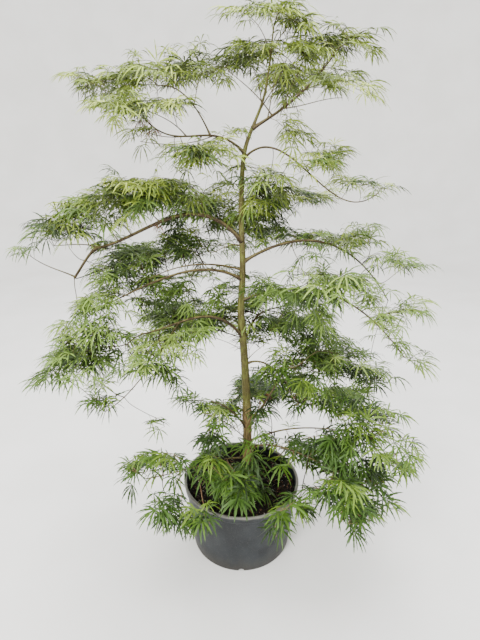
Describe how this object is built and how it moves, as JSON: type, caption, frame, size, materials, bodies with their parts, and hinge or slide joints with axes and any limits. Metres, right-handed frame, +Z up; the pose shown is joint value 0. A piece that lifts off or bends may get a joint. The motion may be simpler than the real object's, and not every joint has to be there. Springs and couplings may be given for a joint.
{
  "type": "potted japanese maple",
  "caption": "Cut-leaf maple in a round nursery pot, a slender leaning leader with layered, drooping tiers of lacy foliage on arching boughs",
  "frame": {"origin": "centre of the pot's flat underside, on the ground", "axes": "+Z up; the camera of the reference view looks along +Y, with +X to its right; the longest bough runs towards -X"},
  "size_m": [1.3073, 0.8725, 1.8247],
  "materials": {
    "pot_plastic": "scuffed matt black-grey plastic with a dusty rim",
    "soil": "damp crumbly potting soil with bark chips",
    "bark": "smooth olive-brown young bark with fine cracks and buds",
    "foliage": "fine soft green leaves, paler along the lobes and brighter at the tips"
  },
  "bodies": {
    "root": {"pot": "pot_plastic", "soil": "soil", "trunk": "bark", "bough_leader_right": "bark", "bough_upper_left": "bark", "bough_upper_left_fork": "bark", "bough_upper_right": "bark", "bough_upper_back": "bark", "bough_left_long": "bark", "bough_left_long_stub": "bark", "bough_right_long": "bark", "bough_left_middle": "bark", "bough_right_middle": "bark", "bough_left_lower": "bark", "bough_left_drop": "bark", "bough_back_lower": "bark", "bough_right_drop": "bark", "bough_right_rising": "bark", "bough_left_rising": "bark", "bough_low_right": "bark", "bough_low_front": "bark", "bough_low_left": "bark", "foliage_crown_top": "foliage", "foliage_crown_left": "foliage", "foliage_crown_right": "foliage", "foliage_crown_back": "foliage", "foliage_crown_shelf": "foliage", "foliage_upper_left_high": "foliage", "foliage_upper_left_low": "foliage", "foliage_upper_left_front": "foliage", "foliage_upper_right_inner": "foliage", "foliage_upper_right_outer": "foliage", "foliage_upper_back": "foliage", "foliage_upper_rear_left": "foliage", "foliage_left_high": "foliage", "foliage_left_tip": "foliage", "foliage_left_rear": "foliage", "foliage_right_high": "foliage", "foliage_right_tip": "foliage", "foliage_right_front": "foliage", "foliage_right_fall": "foliage", "foliage_right_low_tip": "foliage", "foliage_dome_back": "foliage", "foliage_left_middle": "foliage", "foliage_left_middle_rear": "foliage", "foliage_left_fall": "foliage", "foliage_left_lower_rear": "foliage", "foliage_left_lower": "foliage", "foliage_left_sprig": "foliage", "foliage_left_under": "foliage", "foliage_back_middle": "foliage", "foliage_back_lower": "foliage", "foliage_right_under": "foliage", "foliage_right_skirt": "foliage", "foliage_low_right": "foliage", "foliage_low_front": "foliage", "foliage_pot_front": "foliage", "foliage_low_left": "foliage", "foliage_pot_left": "foliage", "foliage_over_soil": "foliage"}
  },
  "joints": []
}
